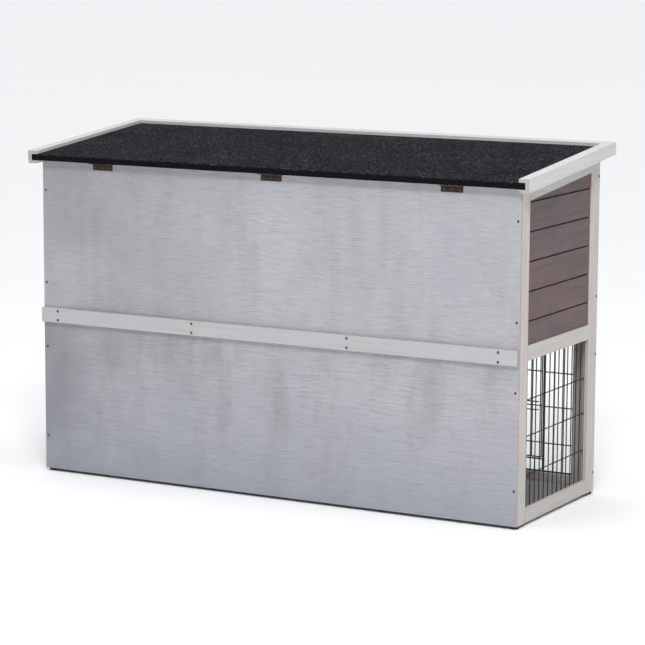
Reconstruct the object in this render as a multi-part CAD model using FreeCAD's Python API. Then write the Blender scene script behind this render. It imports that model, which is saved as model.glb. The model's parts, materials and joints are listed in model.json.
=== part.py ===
import FreeCAD, Part
import math
import os

# Two-storey rabbit hutch with a hinged, felt-covered pent roof.
# Millimetres. The origin is under the middle of the bounding box, on the ground.
# +X is to the right seen from the front, -Y is the front with the doors, +Z is up.

V = FreeCAD.Vector

# ---------------------------------------------------------------- driving dimensions
BODY_WIDTH = 1400.0
BODY_DEPTH = 482.0
ROOF_SIDE_OVERHANG = 30.0
ROOF_REACH = 540.0
ROOF_REAR_REACH = 26.0
ROOF_PITCH = 5.4
EAVE_HEIGHT = 846.0
ROOF_GAP = 0.3

FOOT_HEIGHT = 8.0
FOOT_RADIUS = 12.0
FOOT_INSET = 13.0
EASE = 1.5
JOINT_GAP = 1.0

FRAME_THICK = 18.0
REAR_STILE_WIDTH = 45.0
FRONT_STILE_WIDTH = 52.0
FRONT_POST_WIDTH = 37.0
BOTTOM_RAIL_TOP = 44.0
MID_RAIL_LOW = 415.0
MID_RAIL_TOP = 453.0
TOP_RAIL_HEIGHT = 40.0
MESH_REBATE = 8.0

PANEL_THICK = 5.0
PANEL_LOW = FOOT_HEIGHT
PANEL_SEAM = 429.5
BATTEN_THICK = 12.5
BATTEN_HEIGHT = 38.5
INNER_RAIL_HEIGHT = 38.0

BOARD_PITCH = 73.5
FIRST_GROOVE = 514.5
BOARD_THICK = 10.0
BOARD_RECESS = 4.0
GROOVE_WIDTH = 4.0
GROOVE_DEPTH = 5.0

BAR_RADIUS = 1.5
CROSS_RADIUS = 1.6
BORDER_RADIUS = 2.6
HOLE_BORDER_RADIUS = 2.0
BAR_PITCH = 27.0
CROSS_HEIGHTS = (122.0, 220.0, 312.0)
WELD_BITE = 0.5

GRID_TOP = 395.0
DOOR_RAIL_TOP = 473.0
UPPER_OPENING_TOP = 854.0
MULLION_WIDTH = 38.0
MULLION_CENTER = 221.3
MULLION_LIP = 9.0
MULLION_LIP_THICK = 8.0
DOOR_GAP = 2.5
DOOR_MEMBER = 38.0
DOOR_THICK = 17.5

UPPER_FLOOR_THICK = 9.0
LOWER_FLOOR_LOW = 16.0
LOWER_FLOOR_TOP = 22.0
HATCH_X = (270.0, 563.0)
HATCH_Y = (25.0, 195.0)

RAMP_PITCH = 38.0
RAMP_THICK = 9.0
RAMP_ROD_RADIUS = 4.0
RAMP_BARREL_RADIUS = 9.0
RAMP_PIVOT = (572.0, 393.0)
CLEAT_PITCH = 55.0
CLEAT_HEIGHT = 6.0

TRAY_SHEET = 1.0
TRAY_DEPTH = 25.0

TRIM_WIDTH = 28.0
TRIM_WEB = 11.0
TRIM_LOWER_FLANGE = 7.5
TRIM_UPPER_FLANGE = 9.0
ROOF_BOARD_THICK = 15.0
FELT_THICK = 2.5

HINGE_LENGTH = 60.0
LEAF_WIDTH = 17.0
LEAF_THICK = 1.5
KNUCKLE_RADIUS = 3.0
KNUCKLE_BORE = 1.5
PIN_RADIUS = 1.45
AXIS_STANDOFF = 3.4
KNUCKLES = 5
KNUCKLE_GAP = 0.3
PIN_HEAD_RADIUS = 2.4
PIN_HEAD = 1.0

SCREW_HEAD_RADIUS = 3.4
SCREW_HEAD_HEIGHT = 1.2
SCREW_SHANK_RADIUS = 1.7

# ---------------------------------------------------------------- derived places
HALF = BODY_WIDTH / 2
INNER = HALF - FRAME_THICK
Y_BACK = ROOF_REACH / 2 - ROOF_REAR_REACH
Y_FRONT = Y_BACK - BODY_DEPTH
Y_PANEL = Y_BACK - PANEL_THICK
Y_FRAME = Y_FRONT + FRAME_THICK
Y_REAR_STILE = Y_PANEL - REAR_STILE_WIDTH
Y_FRONT_STILE = Y_FRONT + FRONT_STILE_WIDTH
OPENING_X = INNER - FRONT_POST_WIDTH
BAY_INNER = MULLION_CENTER + MULLION_WIDTH / 2
BAY_CENTER = MULLION_CENTER - MULLION_WIDTH / 2

PITCH_SIN = math.sin(math.radians(ROOF_PITCH))
PITCH_COS = math.cos(math.radians(ROOF_PITCH))
PITCH_TAN = PITCH_SIN / PITCH_COS
ROOF_STACK = ROOF_BOARD_THICK + FELT_THICK
TRIM_TOP = ROOF_STACK + TRIM_UPPER_FLANGE
ROOF_REAR_Y = ROOF_REACH / 2 - TRIM_TOP * PITCH_SIN
ROOF_REAR_Z = EAVE_HEIGHT - (ROOF_REAR_Y - Y_BACK) * PITCH_TAN
ROOF_LENGTH = (ROOF_REAR_Y + ROOF_REACH / 2 - TRIM_LOWER_FLANGE * PITCH_SIN) / PITCH_COS
ROOF_HALF = HALF + ROOF_SIDE_OVERHANG


# ---------------------------------------------------------------- helpers
def block(x0, x1, y0, y1, z0, z1):
    """Box between two corners."""
    return Part.makeBox(x1 - x0, y1 - y0, z1 - z0, V(x0, y0, z0))


def bar(x0, x1, y0, y1, z0, z1, ease=EASE):
    """Planed timber: a box with its four long edges eased."""
    piece = block(x0, x1, y0, y1, z0, z1)
    longest = max(x1 - x0, y1 - y0, z1 - z0)
    edges = [edge for edge in piece.Edges if abs(edge.Length - longest) < 0.001]
    return piece.makeFillet(ease, edges)


def wire(start, end, radius):
    """Straight round wire between two points."""
    run = V(*end).sub(V(*start))
    return Part.makeCylinder(radius, run.Length, V(*start), run)


def weld(pieces):
    """Join touching pieces into one solid."""
    joined = pieces[0].multiFuse(pieces[1:])
    assert len(joined.Solids) == 1
    return joined.Solids[0]


def mirrored(shape):
    """The same piece on the other side of the hutch."""
    return shape.mirror(V(0, 0, 0), V(1, 0, 0))


def on_roof(shape):
    """Lift a shape drawn flat, x across and -y up the slope, onto the pitched roof.

    Height 0 of the flat shape is the underside of the roof board, y = 0 its rear end.
    """
    lifted = shape.copy()
    lifted.rotate(V(0, 0, 0), V(1, 0, 0), -ROOF_PITCH)
    lifted.translate(V(0, ROOF_REAR_Y, ROOF_REAR_Z))
    return lifted


def under_roof(shape):
    """Trim a piece of the body to the slope just below the roof board."""
    above = on_roof(block(-ROOF_HALF, ROOF_HALF, -700, 100, -ROOF_GAP, 200))
    return shape.cut(above).Solids[0]


def save(name, *pieces):
    """Write one node as its own STEP file."""
    solids = [solid for piece in pieces for solid in piece.Solids]
    shape = solids[0] if len(solids) == 1 else Part.makeCompound(solids)
    for solid in solids:
        assert solid.isValid(), name
    shape.exportStep("parts/%s.step" % name)


def save_pair(name, right_piece):
    """Write a right-hand piece and its left-hand mirror image as two nodes."""
    save(name + "_right", right_piece)
    save(name + "_left", mirrored(right_piece))


# ---------------------------------------------------------------- side frames
def mesh_rebate():
    """The step round the inside of the lower side opening that holds the mesh."""
    return block(INNER - 1, INNER + MESH_REBATE,
                 Y_FRONT_STILE - MESH_REBATE, Y_REAR_STILE + MESH_REBATE,
                 BOTTOM_RAIL_TOP - MESH_REBATE, MID_RAIL_LOW + MESH_REBATE)


def side_frames():
    top = ROOF_REAR_Z + ROOF_REACH * PITCH_TAN
    rear = bar(INNER, HALF, Y_REAR_STILE, Y_PANEL, FOOT_HEIGHT, top)
    front = bar(INNER, HALF, Y_FRONT, Y_FRONT_STILE, FOOT_HEIGHT, top)
    low = bar(INNER, HALF, Y_FRONT_STILE, Y_REAR_STILE, FOOT_HEIGHT, BOTTOM_RAIL_TOP)
    mid = bar(INNER, HALF, Y_FRONT_STILE, Y_REAR_STILE, MID_RAIL_LOW, MID_RAIL_TOP)
    rebate = mesh_rebate()
    save_pair("rear_stile", under_roof(rear.cut(rebate)))
    save_pair("front_stile", under_roof(front.cut(rebate)))
    save_pair("side_bottom_rail", low.cut(rebate))
    save_pair("side_mid_rail", mid.cut(rebate))
    slanted = on_roof(bar(INNER, HALF, -ROOF_LENGTH, 0, -ROOF_GAP - TOP_RAIL_HEIGHT, -ROOF_GAP))
    between = block(INNER, HALF, Y_FRONT_STILE, Y_REAR_STILE, MID_RAIL_TOP, top)
    save_pair("side_top_rail", slanted.common(between))


def cladding_board(x_in, x_out, y0, y1, low, high, groove):
    """One horizontal board; its face steps back along the top to leave a shadow groove."""
    board = block(x_in, x_out, y0, y1, low, high)
    if not groove:
        return board
    return board.cut(block(x_out - GROOVE_DEPTH, x_out + 1, y0 - 1, y1 + 1,
                           high - GROOVE_WIDTH, high + 1))


def side_cladding():
    x_out = HALF - BOARD_RECESS
    x_in = x_out - BOARD_THICK
    above_rail = on_roof(block(0, ROOF_HALF, -700, 100, -ROOF_GAP - TOP_RAIL_HEIGHT, 200))
    top = EAVE_HEIGHT
    levels = [MID_RAIL_TOP] + [FIRST_GROOVE + BOARD_PITCH * i for i in range(5)] + [top]
    boards = []
    for low, high in zip(levels, levels[1:]):
        board = cladding_board(x_in, x_out, Y_FRONT_STILE, Y_REAR_STILE, low, high, high < top)
        boards.append(board.cut(above_rail))
    save_pair("side_cladding", Part.makeCompound(boards))


def bar_places(first, last, pitch):
    """Evenly spaced places from first to last, as close to the pitch as fits."""
    count = round((last - first) / pitch)
    return [first + (last - first) * i / count for i in range(count + 1)]


def side_mesh():
    reach = MESH_REBATE - 2.0
    x_bar = INNER + MESH_REBATE - BAR_RADIUS
    x_cross = x_bar - 2 * BAR_RADIUS + WELD_BITE
    y0, y1 = Y_FRONT_STILE - reach, Y_REAR_STILE + reach
    z0, z1 = BOTTOM_RAIL_TOP - reach, MID_RAIL_LOW + reach
    wires = [wire((x_bar, y, z0), (x_bar, y, z1), BAR_RADIUS)
             for y in bar_places(y0 + BAR_RADIUS, y1 - BAR_RADIUS, BAR_PITCH)]
    heights = (z0 + BAR_RADIUS,) + CROSS_HEIGHTS + (z1 - BAR_RADIUS,)
    wires += [wire((x_cross, y0, z), (x_cross, y1, z), BAR_RADIUS) for z in heights]
    save_pair("side_mesh", weld(wires))


# ---------------------------------------------------------------- back
def back():
    roof_high = EAVE_HEIGHT + 20
    upper = block(-HALF, HALF, Y_PANEL, Y_BACK, PANEL_SEAM, roof_high)
    save("back_panel_upper", under_roof(upper))
    save("back_panel_lower", block(-HALF, HALF, Y_PANEL, Y_BACK, PANEL_LOW, PANEL_SEAM))
    batten_low = PANEL_SEAM - BATTEN_HEIGHT / 2
    save("back_batten", bar(-HALF, HALF, Y_BACK, Y_BACK + BATTEN_THICK,
                            batten_low, batten_low + BATTEN_HEIGHT, 1.0))
    rail_tops = (LOWER_FLOOR_TOP + INNER_RAIL_HEIGHT, MID_RAIL_LOW, EAVE_HEIGHT - 3)
    save("back_inner_rails", *[bar(-INNER, INNER, Y_PANEL - FRAME_THICK, Y_PANEL,
                                   top - INNER_RAIL_HEIGHT, top) for top in rail_tops])


# ---------------------------------------------------------------- front frame
def mullion():
    """Upper divider with a lip behind it that the door and the mesh close against."""
    low, high = DOOR_RAIL_TOP, UPPER_OPENING_TOP
    face = bar(BAY_CENTER, BAY_INNER, Y_FRONT, Y_FRAME, low, high)
    lip = block(BAY_CENTER - MULLION_LIP, BAY_INNER + MULLION_LIP,
                Y_FRAME, Y_FRAME + MULLION_LIP_THICK, low, high)
    return weld([face, lip])


def front_frame():
    top = ROOF_REAR_Z + ROOF_REACH * PITCH_TAN
    post = bar(OPENING_X, INNER, Y_FRONT, Y_FRAME, FOOT_HEIGHT, top)
    save_pair("front_post", under_roof(post))
    header = bar(-OPENING_X, OPENING_X, Y_FRONT, Y_FRAME, UPPER_OPENING_TOP, top)
    save("front_top_rail", under_roof(header))
    rails = (("front_bottom_rail", FOOT_HEIGHT, BOTTOM_RAIL_TOP),
             ("front_mid_rail", GRID_TOP, MID_RAIL_LOW),
             ("front_door_rail", MID_RAIL_TOP, DOOR_RAIL_TOP))
    for name, low, high in rails:
        save(name, bar(-OPENING_X, OPENING_X, Y_FRONT, Y_FRAME, low, high))
    save("front_apron", bar(BAY_CENTER + JOINT_GAP, OPENING_X, Y_FRONT, Y_FRAME,
                            MID_RAIL_LOW, MID_RAIL_TOP))
    save_pair("front_mullion", mullion())
    half = MULLION_WIDTH / 2
    save("front_center_post", bar(-half, half, Y_FRONT, Y_FRAME, BOTTOM_RAIL_TOP, GRID_TOP))


# ---------------------------------------------------------------- wire grids of the lower front
Y_GRID = Y_FRONT + FRAME_THICK / 2
Y_CROSS = Y_GRID + BAR_RADIUS + CROSS_RADIUS - WELD_BITE
GRID_X = (MULLION_WIDTH / 2 + BORDER_RADIUS, OPENING_X - BORDER_RADIUS)
GRID_Z = (BOTTOM_RAIL_TOP + HOLE_BORDER_RADIUS, GRID_TOP - HOLE_BORDER_RADIUS)
HOLE_X = (165.0, 558.0)
HOLE_Z = (78.0, 362.0)
WIRE_DOOR_X = (171.0, 553.0)
WIRE_DOOR_Z = (83.0, 357.0)
WIRE_DOOR_BORDER = 1.8
LOOP_HEIGHTS = (150.0, 290.0)
LOOP_RING = 3.6
LOOP_WIRE = 1.2
UPRIGHT_CLEARANCE = 6.0

LATCH_RADIUS = 1.5
LATCH_Y = Y_GRID + HOLE_BORDER_RADIUS + LATCH_RADIUS + 0.3
LATCH_HALF_GAP = 11.0
LATCH_TIP = 545.0
LATCH_LEG = 75.0
LATCH_RING = 3.1


def rectangle(x_pair, z_pair, radius):
    """Closed wire border in the plane of the grid, with rounded outer corners."""
    (x0, x1), (z0, z1) = x_pair, z_pair
    corners = [(x0, Y_GRID, z0), (x1, Y_GRID, z0), (x1, Y_GRID, z1), (x0, Y_GRID, z1)]
    sides = [wire(a, b, radius) for a, b in zip(corners, corners[1:] + corners[:1])]
    return sides + [Part.makeSphere(radius, V(*corner)) for corner in corners]


def grid_side_strip(outer_x, hole_x, uprights):
    """Upright strip of fixed grid between a timber and the hole's border wire."""
    bottom, top = GRID_Z
    x0, x1 = min(outer_x, hole_x), max(outer_x, hole_x)
    wires = [wire((outer_x, Y_GRID, bottom), (outer_x, Y_GRID, top), BORDER_RADIUS),
             wire((hole_x, Y_GRID, bottom), (hole_x, Y_GRID, top), HOLE_BORDER_RADIUS)]
    wires += [wire((x0, Y_GRID, z), (x1, Y_GRID, z), HOLE_BORDER_RADIUS) for z in GRID_Z]
    wires += [Part.makeSphere(HOLE_BORDER_RADIUS, V(hole_x, Y_GRID, z)) for z in GRID_Z]
    wires += [wire((x, Y_GRID, bottom), (x, Y_GRID, top), BAR_RADIUS)
              for x in uprights if x0 + UPRIGHT_CLEARANCE < x < x1 - UPRIGHT_CLEARANCE]
    wires += [wire((x0, Y_CROSS, z), (x1, Y_CROSS, z), CROSS_RADIUS) for z in CROSS_HEIGHTS]
    return weld(wires)


def front_grids():
    """Fixed grid of one lower bay: four strips round the hole that its wire door closes."""
    uprights = bar_places(GRID_X[0], GRID_X[1], BAR_PITCH)[1:-1]
    strips = [grid_side_strip(GRID_X[0], HOLE_X[0], uprights),
              grid_side_strip(GRID_X[1], HOLE_X[1], uprights)]
    x0, x1 = HOLE_X[0] + HOLE_BORDER_RADIUS, HOLE_X[1] - HOLE_BORDER_RADIUS
    for low, high in ((GRID_Z[0], HOLE_Z[0]), (HOLE_Z[1], GRID_Z[1])):
        wires = [wire((x0, Y_GRID, z), (x1, Y_GRID, z), HOLE_BORDER_RADIUS) for z in (low, high)]
        wires += [wire((x, Y_GRID, low), (x, Y_GRID, high), BAR_RADIUS)
                  for x in uprights if x0 + UPRIGHT_CLEARANCE < x < x1 - UPRIGHT_CLEARANCE]
        strips.append(weld(wires))
    save_pair("front_grid", Part.makeCompound(strips))


def wire_doors():
    """Wire door that hangs by two loops on the hole's inner border wire.

    Its cross wires are in front, so that the bolt has room behind its uprights.
    """
    y_cross = 2 * Y_GRID - Y_CROSS
    wires = rectangle(WIRE_DOOR_X, WIRE_DOOR_Z, WIRE_DOOR_BORDER)
    uprights = bar_places(WIRE_DOOR_X[0], WIRE_DOOR_X[1], BAR_PITCH)
    for x in uprights[1:-1]:
        wires.append(wire((x, Y_GRID, WIRE_DOOR_Z[0]), (x, Y_GRID, WIRE_DOOR_Z[1]), BAR_RADIUS))
    for z in CROSS_HEIGHTS:
        wires.append(wire((WIRE_DOOR_X[0], y_cross, z), (WIRE_DOOR_X[1], y_cross, z), CROSS_RADIUS))
    for z in LOOP_HEIGHTS:
        wires.append(Part.makeTorus(LOOP_RING, LOOP_WIRE, V(HOLE_X[0], Y_GRID, z), V(0, 0, 1)))
    middle = CROSS_HEIGHTS[1]
    for x in uprights[-3:-1]:
        for z in (middle - LATCH_HALF_GAP, middle + LATCH_HALF_GAP):
            wires.append(Part.makeTorus(LATCH_RING, LOOP_WIRE, V(x, LATCH_Y, z), V(1, 0, 0)))
    save_pair("grid_door", weld(wires))


def grid_latches():
    """U-shaped bolt of bent wire; its legs slide behind the hole's outer border wire."""
    middle = CROSS_HEIGHTS[1]
    bend_x = LATCH_TIP - LATCH_LEG
    legs = [wire((bend_x, LATCH_Y, middle + side * LATCH_HALF_GAP),
                 (LATCH_TIP, LATCH_Y, middle + side * LATCH_HALF_GAP), LATCH_RADIUS)
            for side in (-1, 1)]
    tips = [Part.makeSphere(LATCH_RADIUS, V(LATCH_TIP, LATCH_Y, middle + side * LATCH_HALF_GAP))
            for side in (-1, 1)]
    bend = Part.makeTorus(LATCH_HALF_GAP, LATCH_RADIUS, V(bend_x, LATCH_Y, middle), V(0, 1, 0))
    keep = block(bend_x - 20, bend_x, LATCH_Y - 5, LATCH_Y + 5, middle - 20, middle + 20)
    save_pair("grid_latch", weld(legs + tips + [bend.common(keep)]))


def front_mesh_center():
    """Fixed mesh between the two mullions, resting against their lips."""
    x_half = BAY_CENTER - BORDER_RADIUS
    z0, z1 = DOOR_RAIL_TOP + BORDER_RADIUS, UPPER_OPENING_TOP - BORDER_RADIUS
    wires = rectangle((-x_half, x_half), (z0, z1), BORDER_RADIUS)
    for x in bar_places(-x_half, x_half, BAR_PITCH)[1:-1]:
        wires.append(wire((x, Y_GRID, z0), (x, Y_GRID, z1), BAR_RADIUS))
    for z in bar_places(z0, z1, 95.0)[1:-1]:
        wires.append(wire((-x_half, Y_CROSS, z), (x_half, Y_CROSS, z), CROSS_RADIUS))
    save("front_mesh_center", weld(wires))


# ---------------------------------------------------------------- hinges
def knuckle_span(index):
    """Lowest and highest height of one knuckle along a hinge centred on 0."""
    step = HINGE_LENGTH / KNUCKLES
    low = -HINGE_LENGTH / 2 + index * step
    return low + KNUCKLE_GAP / 2, low + step - KNUCKLE_GAP / 2


def hinge_leaf(own_knuckles):
    """Leaf of a butt hinge round the Z axis; its plate runs along +X, off the axis."""
    outer = AXIS_STANDOFF
    plate = block(0, LEAF_WIDTH, outer - LEAF_THICK, outer, -HINGE_LENGTH / 2, HINGE_LENGTH / 2)
    barrels = []
    slots = []
    for index in range(KNUCKLES):
        low, high = knuckle_span(index)
        if index in own_knuckles:
            barrels.append(Part.makeCylinder(KNUCKLE_RADIUS, high - low, V(0, 0, low)))
        else:
            slots.append(Part.makeCylinder(KNUCKLE_RADIUS + 0.35, high - low + 2 * KNUCKLE_GAP,
                                           V(0, 0, low - KNUCKLE_GAP)))
    leaf = plate.multiFuse(barrels)
    bore = Part.makeCylinder(KNUCKLE_BORE, HINGE_LENGTH + 2, V(0, 0, -HINGE_LENGTH / 2 - 1))
    for slot in slots + [bore]:
        leaf = leaf.cut(slot)
    assert len(leaf.Solids) == 1
    return leaf.Solids[0]


FIXED_KNUCKLES = (0, 2, 4)
MOVING_KNUCKLES = (1, 3)


def placed(shape, origin, along, off):
    """Carry a hinge piece drawn round the Z axis to an origin and two directions."""
    third = along.cross(off)
    rotation = FreeCAD.Rotation(along, off, third, "ZXY")
    copy = shape.copy()
    copy.Placement = FreeCAD.Placement(origin, rotation)
    return copy


def hinge_pin():
    """Headed pin through all the knuckles."""
    half = HINGE_LENGTH / 2
    shank = Part.makeCylinder(PIN_RADIUS, HINGE_LENGTH + 2 * PIN_HEAD, V(0, 0, -half - PIN_HEAD))
    head = Part.makeCylinder(PIN_HEAD_RADIUS, PIN_HEAD, V(0, 0, half + KNUCKLE_GAP))
    foot = Part.makeCylinder(PIN_HEAD_RADIUS, PIN_HEAD, V(0, 0, -half - KNUCKLE_GAP - PIN_HEAD))
    return weld([shank, head, foot])


ROOF_HINGE_X = (508.5, -2.5, -512.5)
ROOF_PIVOT_S = (ROOF_REAR_Y - Y_BACK - AXIS_STANDOFF - AXIS_STANDOFF * PITCH_SIN) / PITCH_COS
UPHILL = V(0, -PITCH_COS, PITCH_SIN)
ROOF_UP = V(0, PITCH_SIN, PITCH_COS)
ROOF_PIVOT = V(0, ROOF_REAR_Y, ROOF_REAR_Z) + UPHILL * ROOF_PIVOT_S - ROOF_UP * AXIS_STANDOFF


def roof_hinges():
    fixed = []
    moving = []
    for x in ROOF_HINGE_X:
        origin = V(x, ROOF_PIVOT.y, ROOF_PIVOT.z)
        fixed.append(placed(hinge_leaf(FIXED_KNUCKLES), origin, V(0, 0, -1), V(0, -1, 0)))
        fixed.append(placed(hinge_pin(), origin, V(0, 0, -1), V(0, -1, 0)))
        moving.append(placed(hinge_leaf(MOVING_KNUCKLES), origin, UPHILL * -1, ROOF_UP))
    save("roof_hinge_fixed_leaves", *fixed)
    save("roof_hinge_moving_leaves", *moving)


DOOR_LOW = DOOR_RAIL_TOP + DOOR_GAP
DOOR_HIGH = UPPER_OPENING_TOP - DOOR_GAP
DOOR_X = (BAY_INNER + DOOR_GAP, OPENING_X - DOOR_GAP)
DOOR_AXIS_X = OPENING_X - DOOR_GAP / 2
DOOR_HINGE_Z = (545.0, 782.0)


def door_hinges():
    fixed = []
    moving = []
    for z in DOOR_HINGE_Z:
        origin = V(DOOR_AXIS_X, Y_FRONT - AXIS_STANDOFF, z)
        fixed.append(placed(hinge_leaf(FIXED_KNUCKLES), origin, V(1, 0, 0), V(0, 1, 0)))
        fixed.append(placed(hinge_pin(), origin, V(1, 0, 0), V(0, 1, 0)))
        moving.append(placed(hinge_leaf(MOVING_KNUCKLES), origin, V(-1, 0, 0), V(0, 1, 0)))
    right = Part.makeCompound(fixed)
    save("door_hinge_fixed_leaves", right, mirrored(right))
    save_pair("door_hinge_leaves", Part.makeCompound(moving))


# ---------------------------------------------------------------- upper doors
KNOB_Z = 590.0
KNOB_LENGTH = 19.0
KNOB_HEAD = 9.0
KNOB_RADIUS = 11.0
KNOB_NECK_RADII = (7.0, 5.0)
KNOB_ROUNDING = 3.0


def knob(x, z, face_y):
    """Turned wooden knob standing off a front face."""
    neck_length = KNOB_LENGTH - KNOB_HEAD
    neck = Part.makeCone(*KNOB_NECK_RADII, neck_length, V(x, face_y, z), V(0, -1, 0))
    head = Part.makeCylinder(KNOB_RADIUS, KNOB_HEAD, V(x, face_y - neck_length, z), V(0, -1, 0))
    rims = [edge for edge in head.Edges if edge.Closed and len(edge.Vertexes) == 1]
    return weld([neck, head.makeFillet(KNOB_ROUNDING, rims)])


def upper_doors():
    x0, x1 = DOOR_X
    y0, y1 = Y_FRONT, Y_FRONT + DOOR_THICK
    inner0, inner1 = x0 + DOOR_MEMBER, x1 - DOOR_MEMBER
    low, high = DOOR_LOW + DOOR_MEMBER, DOOR_HIGH - DOOR_MEMBER
    members = [bar(x0, inner0, y0, y1, DOOR_LOW, DOOR_HIGH),
               bar(inner1, x1, y0, y1, DOOR_LOW, DOOR_HIGH),
               bar(inner0, inner1, y0, y1, DOOR_LOW, low),
               bar(inner0, inner1, y0, y1, high, DOOR_HIGH)]
    handle = knob(x0 + DOOR_MEMBER / 2, KNOB_Z, Y_FRONT)
    save_pair("door_frame", Part.makeCompound(members + [handle]))
    boards = []
    levels = bar_places(low, high, BOARD_PITCH)
    for bottom, top in zip(levels, levels[1:]):
        flat = cladding_board(0, BOARD_THICK, inner0, inner1, bottom, top, top < high)
        flat.rotate(V(0, 0, 0), V(0, 0, 1), -90)
        flat.translate(V(0, Y_FRONT + BOARD_RECESS + BOARD_THICK, 0))
        boards.append(flat)
    save_pair("door_cladding", Part.makeCompound(boards))


def turn_buttons():
    """Wooden turn-button on each mullion, upright when the door is free to open."""
    length, width, thick = 64.0, 16.0, 7.0
    x, z = MULLION_CENTER, (DOOR_LOW + DOOR_HIGH) / 2
    y1 = Y_FRONT - 0.3
    blank = block(x - width / 2, x + width / 2, y1 - thick, y1, z - length / 2, z + length / 2)
    corners = [edge for edge in blank.Edges if abs(edge.Length - thick) < 0.001]
    button = blank.makeFillet(width / 2 - 0.5, corners)
    hole = Part.makeCylinder(SCREW_SHANK_RADIUS + 0.08, thick + 2, V(x, y1 + 1, z), V(0, -1, 0))
    save_pair("turn_button", button.cut(hole).Solids[0])
    return x, y1 - thick, z


# ---------------------------------------------------------------- floors, partition, ramp, tray
def floors():
    upper = block(-INNER, INNER, Y_FRAME, Y_PANEL, MID_RAIL_LOW, MID_RAIL_LOW + UPPER_FLOOR_THICK)
    hatch = block(HATCH_X[0], HATCH_X[1], HATCH_Y[0], HATCH_Y[1], 0, 1000)
    save("upper_floor", upper.cut(hatch))
    save("lower_floor", block(-INNER, INNER, Y_FRAME, Y_PANEL, LOWER_FLOOR_LOW, LOWER_FLOOR_TOP))


def nest_partition():
    """Wall between the nest and the day room, with an arched doorway open at the foot."""
    thick = 9.0
    x0 = -MULLION_CENTER - thick / 2
    y0, y1 = Y_FRAME + MULLION_LIP_THICK, Y_PANEL - FRAME_THICK
    low = MID_RAIL_TOP + 1
    wall = under_roof(block(x0, x0 + thick, y0, y1, low, EAVE_HEIGHT + 60))
    door_y, door_half, spring = 60.0, 95.0, 610.0
    doorway = block(x0 - 1, x0 + thick + 1, door_y - door_half, door_y + door_half, low - 1, spring)
    arch = Part.makeCylinder(door_half, thick + 2, V(x0 - 1, door_y, spring), V(1, 0, 0))
    save("nest_partition", wall.cut(doorway.fuse(arch)))


HANGER_SIZE = 24.0
HANGER_THICK = 12.0
HANGER_GAP = 2.0
RAMP_SIDE_GAP = 7.0
CLEAT_WIDTH = 10.0
FIRST_CLEAT = 40.0


def ramp():
    """Cleated ramp board that hangs from a rod under the hatch and stands on the lower floor."""
    x, z = RAMP_PIVOT
    pitch = math.radians(RAMP_PITCH)
    half = RAMP_THICK / 2
    y0, y1 = HATCH_Y[0] + RAMP_SIDE_GAP, HATCH_Y[1] - RAMP_SIDE_GAP
    foot = (z - LOWER_FLOOR_TOP - 0.3 - half * math.cos(pitch)) / math.sin(pitch)
    board = block(-foot, 0, y0, y1, -half, half)
    barrel = Part.makeCylinder(RAMP_BARREL_RADIUS, y1 - y0, V(0, y0, 0), V(0, 1, 0))
    bore = Part.makeCylinder(RAMP_ROD_RADIUS + 0.08, y1 - y0 + 2, V(0, y0 - 1, 0), V(0, 1, 0))
    pieces = [board.fuse(barrel).cut(bore)]
    count = int((foot - 60) / CLEAT_PITCH)
    for i in range(count + 1):
        at = -FIRST_CLEAT - i * CLEAT_PITCH
        pieces.append(bar(at - CLEAT_WIDTH / 2, at + CLEAT_WIDTH / 2, y0 + 5, y1 - 5,
                          half, half + CLEAT_HEIGHT, 1.2))
    whole = Part.makeCompound(pieces)
    whole.rotate(V(0, 0, 0), V(0, 1, 0), -RAMP_PITCH)
    whole.translate(V(x, 0, z))
    save("ramp", whole)
    overlap = HANGER_GAP + HANGER_THICK + 1
    rod = Part.makeCylinder(RAMP_ROD_RADIUS, y1 - y0 + 2 * overlap, V(x, y0 - overlap, z),
                            V(0, 1, 0))
    blocks = []
    for low in (y0 - HANGER_GAP - HANGER_THICK, y1 + HANGER_GAP):
        hanger = block(x - HANGER_SIZE / 2, x + HANGER_SIZE / 2, low, low + HANGER_THICK,
                       z - HANGER_SIZE / 2, MID_RAIL_LOW)
        hole = Part.makeCylinder(RAMP_ROD_RADIUS + 0.05, HANGER_THICK + 2, V(x, low - 1, z),
                                 V(0, 1, 0))
        blocks.append(hanger.cut(hole))
    save("ramp_rod", rod, *blocks)


TRAY_SIDE_GAP = 5.0
TRAY_REAR_GAP = 14.0
TRAY_KNOB_INSET = 190.0


def tray():
    """Litter tray of folded sheet behind a timber front that fills the slot in the front."""
    x0, x1 = -OPENING_X + JOINT_GAP, BAY_CENTER
    front = bar(x0, x1, Y_FRONT, Y_FRAME, MID_RAIL_LOW + 0.5, MID_RAIL_TOP - 0.5)
    middle = (MID_RAIL_LOW + MID_RAIL_TOP) / 2
    knobs = [knob(x, middle, Y_FRONT) for x in (x0 + TRAY_KNOB_INSET, x1 - TRAY_KNOB_INSET)]
    save("tray_front", front, *knobs)
    left, right = x0 + TRAY_SIDE_GAP, x1 - TRAY_SIDE_GAP
    rear = Y_PANEL - TRAY_REAR_GAP
    low = MID_RAIL_LOW + UPPER_FLOOR_THICK + 0.3
    outer = block(left, right, Y_FRAME, rear, low, low + TRAY_DEPTH)
    inner = block(left + TRAY_SHEET, right - TRAY_SHEET, Y_FRAME + TRAY_SHEET, rear - TRAY_SHEET,
                  low + TRAY_SHEET, low + TRAY_DEPTH + 1)
    save("tray_pan", outer.cut(inner))


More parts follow.
